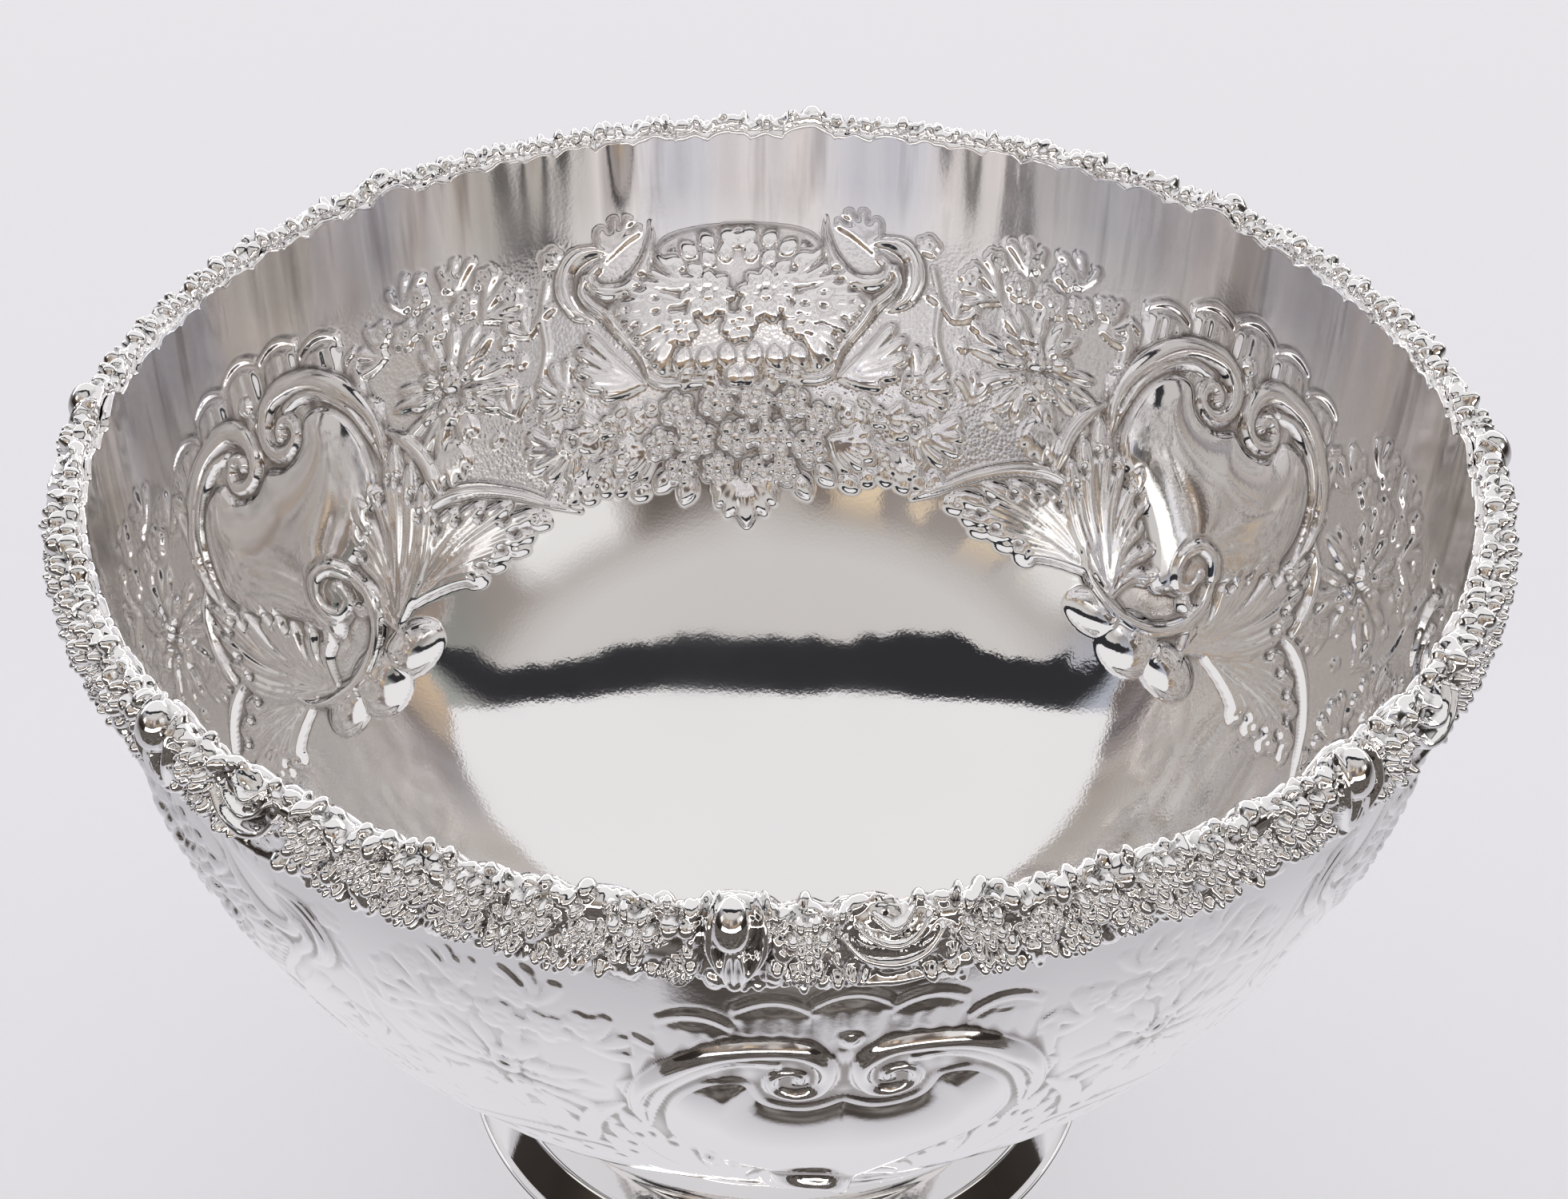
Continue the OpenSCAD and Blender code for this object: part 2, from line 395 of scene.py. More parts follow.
def floral_cartouche(p):
    """The cartouche packed with flowers and leaves between two hooked scrolls."""
    cushion(p, FIELD + [(-x, y) for x, y in FIELD[-2:0:-1]], 1.6, 9.0, smooth=False)
    for _, half in p.halves():
        tube(half, OUTLINE, 1.7, 1.9, ((0, 1), (0.2, 1), (0.4, 0.75), (1, 0.7)), sharp=0.7)
        tube(half, HOOK_SCROLL, 3.2, 2.5, ((0, 0.1), (0.3, 0.9), (0.6, 1), (0.85, 0.6), (1, 0.1)), sharp=0.7)
        tube(half, HOOK_LEAF, 2.9, 2.2, ((0, 0.4), (0.3, 1), (0.6, 0.9), (1, 0.05)), sharp=0.7)
        ball(half, 52.3, 46.7, 2.1, 2.6)
        drill(half, 52.3, 46.7, 0.8, 1.8)
        leaf(half, (45.5, 41.5), [(46, 29), (41, 26.5), (36, 27), (32.6, 31)], 0.8, 2.4, 1.0)
        wing(half)
        for reach, angles, length, width in ((17.5, (8, 24, 40, 56), 8.5, 3.0),
                                             (11.5, (14, 34, 54, 72), 7.5, 2.7)):
            for a in angles:
                c, s = way(a)
                petal(half, 1.25 * reach * s, 57.5 - 0.95 * reach * c, a - 90, length, width, 1.5, 0.35, 0.5)
        for x, y, angle in ((5, 75, 96), (11.5, 76, 84), (18.5, 75.5, 72), (25, 74, 58), (3, 83, 95),
                            (10.5, 84, 88), (18, 82.5, 76)):
            petal(half, x, y, angle, 8.5, 3.0, 1.5, 0.35, 0.5)
    rosette(p, 0, 37.6, 4.8, 5, 1.3, turn=-90)
    for x, y, radius, petals in ((-10.5, 58, 9.4, 8), (9.0, 58.5, 10.2, 9), (-20.5, 69, 6.4, 6),
                                 (21.0, 67.5, 6.8, 7), (-0.5, 69.5, 6.2, 6)):
        clear(p, x, y, 0.8 * radius, 0.8 * radius)
        rosette(p, x, y, radius, petals, 2.1, turn=17 * x, boss=0.22)


def wing(p):
    """The feathered leaves that fill the right end of the floral cartouche."""
    for start, tips, bow in (
        ((14, 56), [(29, 41), (32.6, 46), (36.5, 49.8)], 0.8),
        ((17, 60), [(40, 53), (42.5, 56.5), (43.2, 60)], 0.8),
        ((19, 63.5), [(41.8, 63), (39.6, 66.4), (37.4, 70)], 0.4),
        ((19, 68), [(35.2, 73.4), (33.4, 77), (31, 80.6), (27.6, 83.4)], -0.6),
        ((22, 58), [(33, 54), (33.5, 58.5), (33, 62.5), (31, 67)], 0.4),
    ):
        for tip in tips:
            finger(p, start, tip, bow, 1.75, 1.45, 0.35)
    for x, y in ((33.8, 49.2), (38.6, 55.6), (38.6, 60.4), (35.6, 66.4), (32.2, 72.2), (29.6, 77.4),
                 (28.6, 57.6), (28.8, 62.6)):
        eye(p, x, y, math.degrees(math.atan2(y - 62, x - 14)), 2.4, 1.0)


def pendant(p):
    """The bunch of blossoms and leaves that hangs under the floral cartouche."""
    for _, half in p.halves():
        for x, y, r in ((31.4, 94.6, 2.4), (36.6, 99.6, 2.2), (40.0, 104.6, 2.4)):
            ball(half, x, y, r * 1.1, r * 0.45)
            drill(half, x, y, r * 0.36, 0.9)
        for tip in ((45, 104), (47, 108.6), (45.6, 113.2), (42, 117.2), (36.5, 119.4)):
            finger(half, (30, 108), tip, 0.8, 1.8, 1.3, 0.35)
        for spread, length in ((66, 11), (44, 13), (22, 14.5)):
            petal(half, 1.5, 121.5, 90 - spread, length, 4.0, 2.0, 0.3, 0.5)
        petal(half, 18, 120, 66, 10, 3.6, 1.8, 0.3, 0.5)
        petal(half, 25, 117, 46, 9, 3.4, 1.7, 0.3, 0.5)
    petal(p, 0, 121.5, 90, 18, 5.0, 2.4, vein=0.3, fullest=0.5)
    for x, y, radius, petals in ((-22.5, 96.5, 7.0, 6), (-9.0, 95.0, 6.6, 5), (4.5, 96.0, 7.2, 6),
                                 (17.5, 95.5, 6.4, 5), (27.0, 101.0, 6.2, 6), (-29.0, 107.5, 6.2, 5),
                                 (-16.5, 107.0, 7.8, 6), (-2.5, 107.5, 7.0, 5), (10.5, 108.5, 8.0, 6),
                                 (23.0, 111.5, 6.6, 5), (-22.0, 117.5, 6.0, 5), (-9.0, 118.0, 6.2, 6),
                                 (3.5, 119.5, 5.4, 5), (13.5, 119.5, 5.8, 6)):
        clear(p, x, y, 0.75 * radius, 0.75 * radius)
        rosette(p, x, y, radius, petals, 2.3, turn=23 * x, boss=0.3)


def big_flower(p, x, y, side):
    """The large many-petalled flower between two cartouches."""
    for count, reach, rise, width in ((15, 25.0, 1.15, 2.5), (11, 15.0, 1.6, 2.3)):
        for i in range(count):
            a = 360.0 * (i + 0.5) / count + 6 * math.sin(3.7 * i)
            wide, tall = way(a)
            length = reach / math.hypot(wide, tall * 1.32) * (1 + 0.07 * math.sin(5.3 * i))
            petal(p, x + 3.2 * wide, y + 4.2 * tall, a, length - 3.2, width, rise, vein=0.45, fullest=0.66)
    for i in range(8):
        c, s = way(45 * i + 12)
        ball(p, x + 5.6 * c, y + 1.2 + 7.4 * s, 1.5, 1.7)
    ball(p, x, y - 2.6, 3.7, 2.5)
    ball(p, x + 1.6 * side, y + 4.4, 3.1, 2.2)
    for spread in (-34, -17, 0, 17, 34):
        petal(p, x + 3 * side, y + 15.5, 90 + spread, 16.5 - 0.08 * abs(spread), 3.2, 1.3, 0.35, 0.5)


def sprig(p, base, tips, width, rise):
    """A few pointed leaves from one foot."""
    for tip in tips:
        finger(p, base, tip, 0.8, width, rise, 0.42)


SPRIGS = (
    ((90, 52), [(79, 40.5), (84, 36), (75, 50), (76, 56)], 2.2, 1.25),
    ((99, 41), [(91.5, 30), (98, 27.6), (104.5, 29.5)], 1.9, 1.25),
    ((118, 40), [(110, 29.5), (117, 27.4), (124.5, 30.5)], 1.9, 1.25),
    ((127, 52), [(134, 39), (138, 46), (137.5, 53.5)], 2.2, 1.25),
    ((131, 66), [(140.5, 58), (141.5, 64), (139.5, 71), (135, 77.5)], 2.0, 1.25),
    ((73.5, 62), [(64, 53), (75, 52), (82.5, 56)], 1.9, 1.25),
    ((34, 86.5), [(53.5, 65.5), (57.4, 70), (58, 76.4), (55, 82.4), (49, 87.4)], 2.6, 1.5),
    ((60, 87), [(60, 72), (66, 72.6), (71.4, 77.6), (73, 84.4), (71.4, 91)], 2.5, 1.4),
    ((60, 103), [(78, 100), (76.5, 106), (70.5, 111.6), (77, 94.6), (62, 113.6)], 2.5, 1.4),
    ((47, 99), [(56.5, 93), (58.5, 98), (41, 92), (57, 104.6)], 2.1, 1.3),
    ((80, 88), [(75, 80), (81, 77.6), (86.6, 79.6)], 1.9, 1.25),
)
SMALL_FLOWERS = ((108, 48.2, 6.4), (119, 47.6, 5.6), (96.5, 45.6, 5.2), (128.5, 44, 5.0), (88, 38, 4.6),
                 (113.5, 37.6, 4.8), (101, 35.4, 4.0), (79, 46, 4.4), (64, 37, 4.2))
BUDS = ((66.6, 95.5, 2.2), (52, 104.6, 2.0), (36.6, 96.4, 2.0), (41, 100, 1.7), (67.5, 117.6, 2.6),
        (61.6, 119.4, 2.4), (49, 118.6, 2.6), (43, 120.2, 2.3), (55, 120.6, 2.4), (36.6, 122.8, 2.6),
        (82, 62, 2.0), (77, 69.5, 1.8), (122, 86, 1.9), (126, 80, 1.8), (88, 93, 1.9))


def small_work(p):
    """Sprigs, buds and small flowers that fill the ground between the cartouches."""
    for side, half in p.halves():
        big_flower(p, side * 103, 71.5, side)
        tube(half, [(66, 45), (68.4, 56), (67.6, 68), (70.4, 78.5)], 1.2, 0.9, sharp=0.7)
        ball(half, 70.8, 79.4, 1.7, 1.2)
        for x, y, r in SMALL_FLOWERS:
            cup_flower(p, side * x, y, r, 1.3, 37 * x)
            ball(p, side * x, y, r * 0.3, 1.2)
        for base, tips, width, rise in SPRIGS:
            sprig(half, base, tips, width, rise)
        for x, y, r, rise, turn in ((60, 101.4, 5.6, 1.8, 20), (47.5, 98.6, 4.2, 1.6, 50),
                                    (41.6, 110.6, 4.4, 1.6, 10)):
            cup_flower(p, side * x, y, r, rise, turn)
        rosette(p, side * 60, 86.6, 4.4, 5, 1.7, turn=11)
        shell(half, 55.5, 110.5, 114, 9.5, 150, 6, 1.4)
        for x, y, r in BUDS:
            ball(p, side * x, y, r * 1.15, r * 0.42, 1.25, 20 * x)
            drill(p, side * x, y, r * 0.3, 0.5)


# ---- turning panels into heights

def blur(h, across, down, wrap=True):
    """A Gaussian blur; across and down are sigmas in samples."""
    for axis, sigma in ((1, across), (0, down)):
        n = int(3 * sigma) + 1
        k = np.exp(-0.5 * (np.arange(-n, n + 1) / sigma) ** 2)
        k /= k.sum()
        mode = "wrap" if wrap and axis == 1 else "edge"
        padded = np.pad(h, [(n, n) if a == axis else (0, 0) for a in (0, 1)], mode=mode)
        h = sum(w * np.take(padded, range(i, i + h.shape[axis]), axis=axis) for i, w in enumerate(k))
    return h


def soft_noise(rng, shape, across, down):
    """Blurred random heights, scaled to a spread of 1, that repeat around the bowl."""
    h = blur(rng.standard_normal(shape), across, down)
    return h / h.std()


def wall_rows():
    """Arc lengths of the bowl's rows: close together over the relief, wider over the plain bottom."""
    top = np.arange(0, DECORATED_DEPTH, WALL_STEP)
    rest = CURVE_S[-1] - top[-1]
    share = np.linspace(0, 1, BOTTOM_ROWS + 1)[1:]
    return np.concatenate([top, top[-1] + rest * (0.25 * share + 0.75 * share**1.5) * 0.998])


def wall_relief(rows):
    """The panel of one period of the wall, rows down and columns across, with its whole pattern drawn."""
    azimuth = (np.arange(PERIOD_COLUMNS) / PERIOD_COLUMNS - 0.5) * PERIOD
    radius = at(rows, CURVE_R)[:, None]
    floral = Panel(np.radians(azimuth) * radius, np.repeat(rows[:, None], PERIOD_COLUMNS, axis=1))
    half = PERIOD / 2
    plain = floral.seen_as(np.radians(np.where(azimuth >= 0, azimuth - half, azimuth + half)) * radius)
    small_work(floral)
    floral_cartouche(floral)
    pendant(floral)
    plain_cartouche(plain)
    return floral


LOBE_EDGES = np.array([-22.5, -18.4, -14.0, -10.6, -6.2, -2.8, 2.6, 6.4, 10.4, 14.6, 18.2, 22.5])
LOBE_PEAKS = np.array([1.9, 2.6, 1.7, 2.7, 1.5, 4.6, 1.6, 2.6, 2.1, 1.7, 2.4])
EDGE_DROP = 1.9


def scallop(azimuth):
    """How far the top edge rises at each azimuth: small waves and one high lobe in each border section."""
    phi = (azimuth - DOME_AT + SECTION_DEG / 2) % SECTION_DEG - SECTION_DEG / 2
    i = np.clip(np.searchsorted(LOBE_EDGES, phi, side="right") - 1, 0, len(LOBE_PEAKS) - 1)
    f = (phi - LOBE_EDGES[i]) / (LOBE_EDGES[i + 1] - LOBE_EDGES[i])
    ripple = 0.35 * np.abs(np.sin(np.radians(phi) * 96)) + 0.25 * np.sin(np.radians(phi) * 152 + 1)
    return LOBE_PEAKS[i] * np.sin(math.pi * f) ** 0.6 + ripple - EDGE_DROP


# ---- meshes

def new_mesh(name, points, faces, attributes=()):
    """A smooth-shaded object from points in millimetres and a list of arrays of faces."""
    mesh = bpy.data.meshes.new(name)
    points = np.asarray(points, np.float32) / M_TO_MM
    loops = np.concatenate([f.ravel() for f in faces]).astype(np.int32)
    sizes = np.concatenate([np.full(len(f), f.shape[1]) for f in faces])
    mesh.vertices.add(len(points))
    mesh.vertices.foreach_set("co", points.ravel())
    mesh.loops.add(len(loops))
    mesh.loops.foreach_set("vertex_index", loops)
    mesh.polygons.add(len(sizes))
    mesh.polygons.foreach_set("loop_start", np.concatenate([[0], np.cumsum(sizes)[:-1]]).astype(np.int32))
    mesh.update(calc_edges=True)
    mesh.validate()
    mesh.shade_smooth()
    for label, values in attributes:
        layer = mesh.attributes.new(label, "FLOAT", "POINT")
        layer.data.foreach_set("value", np.asarray(values, np.float32).ravel())
    obj = bpy.data.objects.new(name, mesh)
    bpy.context.scene.collection.objects.link(obj)
    return obj


def ring_faces(rows, columns, start=0, flip=False):
    """Quads between rows of a closed ring grid."""
    i = np.arange(rows - 1)[:, None] * columns
    j = np.arange(columns)[None, :]
    k = (j + 1) % columns
    quads = np.stack([i + j, i + k, i + columns + k, i + columns + j], -1).reshape(-1, 4) + start
    return quads[:, ::-1] if flip else quads


def ring_points(radius, z, azimuth):
    """Points from arrays of radius, height and azimuth in radians."""
    return np.stack([radius * np.sin(azimuth), radius * np.cos(azimuth), z], -1).reshape(-1, 3)


def around_ring(columns):
    """Azimuths of the columns of a closed ring, in radians."""
    return np.radians(np.arange(columns) * 360.0 / columns)[None, :]


def lathe(name, profile, columns=360):
    """A closed turned piece from a closed (radius, z) outline that runs either way round."""
    p = np.asarray(profile, float)
    a = around_ring(columns)
    points = ring_points(p[:, :1] + 0 * a, p[:, 1:] + 0 * a, a + 0 * p[:, :1])
    area = np.sum(p[:, 0] * np.roll(p[:, 1], -1) - np.roll(p[:, 0], -1) * p[:, 1])
    faces = ring_faces(len(p) + 1, columns, flip=area <= 0) % (len(p) * columns)
    return new_mesh(name, points, [faces])


# Shares of the drawn pattern that the faces of the sheet show
INNER_SHARE = 1.15
DRAWN_SHARE = 0.35
OUTER_BROAD_SHARE = 0.4
OUTER_FINE_SHARE = 0.20
GROOVE_SHARE = 0.42
# Unevenness of the hammered sheet
WAVES = 0.20
RIPPLES = 0.060
DENTS = 0.035
PUNCHING = 0.02
# Places down the wall, from the mouth
PLAIN_BAND = 34.0
MATTED_FROM, MATTED_TO = 30.0, 117.0
EDGE_FADE = 7.0


def both_faces(drawn):
    """Heights of the inside and the outside for a drawn pattern: the outside is flatter and chased."""
    pulled = DRAWN_SHARE * blur(drawn, 11, 11)
    broad = blur(drawn, 4, 4)
    inside = INNER_SHARE * blur(drawn, 0.9, 0.9) + pulled
    outside = OUTER_BROAD_SHARE * broad + OUTER_FINE_SHARE * (blur(drawn, 1.0, 1.0) - broad) + pulled
    groove = np.clip(blur(drawn, 1.8, 1.8) - blur(drawn, 0.6, 0.6), 0, 0.5)
    return inside, outside - GROOVE_SHARE * groove


def make_bowl():
    """The sheet shell: both faces with their relief, joined at the edge and closed at the bottom."""
    rows = wall_rows()
    wall = wall_relief(rows)
    rng = np.random.default_rng(11)
    inner_period, outer_period = both_faces(wall.height)
    # Painted shade: how far each point lies below the blurred relief, which darkens the silver's colour in
    # the hollows of the chasing.
    crease_shade = np.tile(np.clip(blur(wall.height, 4, 4) - wall.height, 0, 1), REPEATS)
    y = rows[:, None]
    ground = 1 - blur(wall.worked, 1.2, 1.2)
    matted = ground * np.clip((y - MATTED_FROM) / 22, 0, 1) * np.clip((MATTED_TO - y) / 6, 0, 1)
    matted = np.tile(matted, REPEATS)
    shape = (len(rows), COLUMNS)
    plain_band = np.clip(1.5 - y / PLAIN_BAND, 0, 1)
    waves = (WAVES * soft_noise(rng, shape, 13, 60) + RIPPLES * soft_noise(rng, shape, 5, 45)) * plain_band
    dents = DENTS * soft_noise(rng, shape, 22, 16)
    punched = PUNCHING * rng.standard_normal(shape) * matted
    azimuth = np.radians(np.arange(COLUMNS) * 360.0 / COLUMNS - PERIOD / 2)[None, :]
    lift = scallop(np.degrees(azimuth)) * np.exp(-((y / EDGE_FADE) ** 2))
    r, z, nr, nz = (at(rows, v)[:, None] for v in (CURVE_R, CURVE_Z, CURVE_NR, CURVE_NZ))

    def surface(relief, out):
        h = np.tile(relief, REPEATS) + waves + dents + out
        return ring_points(r + nr * h, z + nz * h + lift, azimuth + 0 * h)

    inner = surface(inner_period, punched)
    outer = surface(outer_period, SHEET)
    n = len(inner)
    last = (len(rows) - 1) * COLUMNS
    poles = np.array([[0, 0, BOTTOM_Z], [0, 0, BOTTOM_Z - SHEET]])
    ring = np.arange(COLUMNS)
    after = (ring + 1) % COLUMNS
    quads = np.vstack([
        ring_faces(len(rows), COLUMNS),
        ring_faces(len(rows), COLUMNS, n, flip=True),
        np.stack([after, ring, n + ring, n + after], -1),
    ])
    fans = np.vstack([
        np.stack([last + ring, last + after, np.full(COLUMNS, 2 * n)], -1),
        np.stack([n + last + after, n + last + ring, np.full(COLUMNS, 2 * n + 1)], -1),
    ])
    # Where the plain band lies: there the silver is rougher from polishing and carries painted reflection
    # streaks in its colour.
    brushed_and_painted_streaks = np.broadcast_to(plain_band, shape)
    # The painted shade in the hollows goes on both faces, a little weaker on the outside.
    values = {"matted": (matted, 0 * matted), "crevice_shade": (crease_shade, 0.9 * crease_shade),
              "brushed_and_painted_streaks": (brushed_and_painted_streaks, 0 * brushed_and_painted_streaks)}
    attributes = [(label, np.concatenate([*(face.ravel() for face in faces), np.zeros(len(poles))]))
                  for label, faces in values.items()]
    return new_mesh("embossed_bowl", np.vstack([inner, outer, poles]), [quads, fans], attributes)


BORDER_COLUMNS = 361
BORDER_ROWS = 84
BORDER_BACK_ROWS = 5
BORDER_MID_R = MOUTH_R + 8.0
BORDER_LENGTH = math.radians(SECTION_DEG) * BORDER_MID_R
DOME_X = math.radians(DOME_AT) * BORDER_MID_R
BORDER_LINE = smooth_line([(2.0, 0.0), (2.7, 1.5), (4.7, 2.2), (6.8, 0.6), (7.8, -3.2), (8.0, -8),
                           (7.2, -13.5), (5.2, -18), (2.6, -20.6)], 10)
BORDER_ALONG = np.concatenate([[0], np.cumsum(np.hypot(*np.diff(BORDER_LINE, axis=0).T))])
BORDER_FACE_H = float(BORDER_ALONG[-1])
BORDER_SPACING = 3.5
BORDER_MARGIN = 2.0
BACK_GAP = 0.05
SCATTER_TRIES = 2600
LIP = 1.8


def border_pattern():
    """One cast section seen flat: x along the rim, y from the inner lip over the crest and down the face."""
    x = (np.arange(BORDER_COLUMNS) / (BORDER_COLUMNS - 1) - 0.5) * SECTION_DEG
    y = np.linspace(0, BORDER_FACE_H, BORDER_ROWS)
    p = Panel(np.radians(x) * BORDER_MID_R + 0 * y[:, None], np.repeat(y[:, None], BORDER_COLUMNS, axis=1))
    seeds = scatter(np.random.default_rng(5), BORDER_LENGTH, BORDER_FACE_H - BORDER_MARGIN, BORDER_SPACING)
    for shift in (-BORDER_LENGTH, 0, BORDER_LENGTH):
        shifted = p.seen_as(p.x - shift)
        for k, (u, v) in enumerate(seeds):
            if k % 5 == 0:
                petal(shifted, u - 2.0, v, 360 * math.sin(7.1 * k), 6.5, 2.2, 3.2, 0.3)
            else:
                ball(shifted, u, v, 2.1 + 0.5 * math.sin(5.3 * k), 3.2 + 1.2 * math.sin(3.1 * k))
        border_motifs(shifted)
    return p


def scatter(rng, width, height, spacing):
    """Points no nearer than spacing to each other, repeating every width."""
    kept = []
    for u, v in rng.uniform((-width / 2, LIP), (width / 2, height), (SCATTER_TRIES, 2)):
        if all(((u - a + width / 2) % width - width / 2) ** 2 + (v - b) ** 2 > spacing**2 for a, b in kept):
            kept.append((u, v))
    return kept


def berries(p, x, y, radius):
    """A round cluster of small berries."""
    clear(p, x, y, 1.15 * radius, 1.15 * radius)
    for ring, count in ((0.0, 1), (0.42, 6), (0.82, 11)):
        for i in range(count):
            a = 2 * math.pi * i / count + 3 * ring
            across, down = ring * radius * math.cos(a), ring * radius * math.sin(a)
            ball(p, x + across, y + down, 0.26 * radius, 3.9 - 1.5 * ring**2)


def posy(p, x, y, radius, petals, rise, turn):
    """A flower of plump round petals."""
    clear(p, x, y, 1.05 * radius, 1.05 * radius)
    for i in range(petals):
        a = turn + 360.0 * i / petals
        c, s = way(a)
        ball(p, x + 0.62 * radius * c, y + 0.62 * radius * s, 1.9 * radius / petals, rise, 1.3, a)
    ball(p, x, y, radius * 0.3, rise * 1.2)


def dome_motif(p):
    """The smooth dome between two claws that sits once in every section."""
    clear(p, DOME_X, 12.0, 8.0, 13.0)
    ball(p, DOME_X + 0.6, 8.6, 4.9, 5.2)
    for side, reach in ((-1, 1.0), (1, 0.8)):
        claw = [(2.0, 22.0), (4.6, 17.0), (6.4, 11.6), (6.2, 6.6), (4.2, 2.6)]
        tube(p, [(DOME_X + side * reach * x, y) for x, y in claw], 1.3, 3.6, ((0, 0.5), (0.5, 1), (1, 0.4)))
        ball(p, DOME_X + side * 8.8, 17.4, 2.1, 3.9)
        ball(p, DOME_X + side * 4.8, 26.6, 1.7, 3.0)
    for k in (-1, 0, 1):
        tube(p, [(DOME_X + k * out, y) for out, y in ((1.6, 21.5), (1.9, 17), (1.3, 13))], 0.9, 3.7)
    ball(p, DOME_X, 24.2, 2.5, 3.8)
    ball(p, DOME_X + 0.4, 29.2, 1.9, 2.6)


def crescents(p):
    """Nested smooth crescents over a plump bar."""
    middle = -8
    clear(p, middle, 12.5, 12.0, 9.0)
    clear(p, middle, 24.5, 9.5, 3.6)
    for drop, half, width, rise in ((0.0, 10.0, 1.9, 4.4), (4.0, 7.4, 1.5, 3.8), (7.2, 4.4, 1.1, 3.0)):
        y = 15.4 - drop
        bow = [(-1, 0.4 * drop - 6.5), (-0.62, -1.8), (0, 0), (0.62, -1.2), (1, 0.4 * drop - 5.0)]
        line = [(middle + share * half, y + down) for share, down in bow]
        tube(p, line, width, rise, ((0, 0.35), (0.5, 1), (1, 0.35)))
    tube(p, [(-16, 23), (middle, 25.4), (0.5, 23.8)], 2.0, 3.5, ((0, 0.45), (0.5, 1), (1, 0.45)))
    for x, y in ((-19.6, 23.4), (-17.6, 26.6), (-21.8, 26.4), (3.6, 24.6), (5.4, 27.4), (2.6, 28.2)):
        ball(p, x, y, 1.5, 2.9)


BERRY_PLACES = ((56, 14.5, 4.4), (-39.5, 12.5, 4.2), (36.5, 21.5, 3.6), (-62, 21.0, 4.0), (11.0, 21.0, 3.4))
POSY_PLACES = ((45.5, 10.0, 5.6, 6), (-26.5, 11.5, 5.6, 7), (-51.5, 9.8, 5.2, 6), (67.5, 10.5, 5.8, 7),
               (-30.5, 22.5, 4.6, 6), (-49.0, 22.5, 5.0, 6), (64.0, 23.0, 4.4, 6), (9.5, 10.0, 5.0, 6),
               (-66.0, 9.6, 5.0, 6), (-73.5, 20.0, 4.6, 6))
LEAF_PLACES = ((46.5, 27.5, -80, 10), (50.0, 26.5, -110, 9), (-40.5, 27.0, -78, 9),
               (-56.0, 28.0, -100, 9), (27.0, 27.0, -60, 7), (71.5, 28.0, -105, 8), (-24.0, 28.5, -70, 7))
BEAD_PLACES = ((58.5, 26.6, 2.0), (41.8, 28.4, 1.7), (-34.8, 28.6, 1.9), (-45.0, 29.0, 1.6),
               (-69.0, 28.0, 1.9), (-62.5, 28.6, 1.6), (32.0, 29.0, 1.8), (67.5, 29.2, 1.6),
               (-11.0, 29.6, 1.5), (14.0, 28.6, 1.9))


def border_motifs(p):
    """Everything on one casting: a gadrooned lip, the dome, crescents, berries, flowers and leaves."""
    gadroons = round(BORDER_LENGTH / 3.3)
    for i in range(gadroons):
        x = (i + 0.5) * BORDER_LENGTH / gadroons - BORDER_LENGTH / 2
        petal(p, x, 5.4, -90, 5.4, 1.6, 1.0, 0.15, 0.7)
    dome_motif(p)
    crescents(p)
    for x, y, r in BERRY_PLACES:
        berries(p, x, y, r)
    for x, y, r, petals in POSY_PLACES:
        posy(p, x, y, r, petals, 3.9, 13 * x)
    for x, y, angle, length in LEAF_PLACES:
        petal(p, x, y, angle, length, 2.6, 3.3, 0.3, 0.45)
    for x, y, r in BEAD_PLACES:
        ball(p, x, y, r, r * 1.5)


def border_grid(pattern):
    """Radii, heights and azimuths of one casting: its face with the pattern, then its back on the sheet."""
    y = np.linspace(0, BORDER_FACE_H, BORDER_ROWS)
    r, z = (np.interp(y, BORDER_ALONG, BORDER_LINE[:, k])[:, None] for k in (0, 1))
    dr, dz = (blur(np.gradient(v, axis=0), 0.1, 2.0) for v in (r, z))
    size = np.hypot(dr, dz)
    y = y[:, None]
    fade = np.sin(math.pi * np.clip((y + 2.2) / (BORDER_FACE_H + 3), 0, 1)) ** 0.4
    h = blur(pattern.height, 0.5, 0.5, wrap=False) * fade
    phi = np.linspace(-SECTION_DEG / 2, SECTION_DEG / 2, BORDER_COLUMNS)[None, :]
    lift = scallop(phi) * np.exp(-((y / 8.0) ** 2))
    ragged = sum(depth * np.sin(np.radians(phi) * count + start)
                 for depth, count, start in ((1.2, 24, 0), (0.9, 56, 1), (0.6, 128, 2)))
    fall = ragged * np.clip((y - 18) / 14, 0, 1) ** 2
    back_z = np.linspace(BORDER_LINE[-1, 1], -0.2, BORDER_BACK_ROWS)[:, None]
    back_r = at(np.interp(-back_z, MOUTH_Z - CURVE_Z, CURVE_S), CURVE_R) + SHEET + BACK_GAP
    grid_r = np.vstack([MOUTH_R + r - dz / size * h, back_r + 0 * phi])
    grid_z = np.vstack([MOUTH_Z + z + dr / size * h + lift - fall, MOUTH_Z + back_z + 0 * phi])
    return grid_r, grid_z, phi


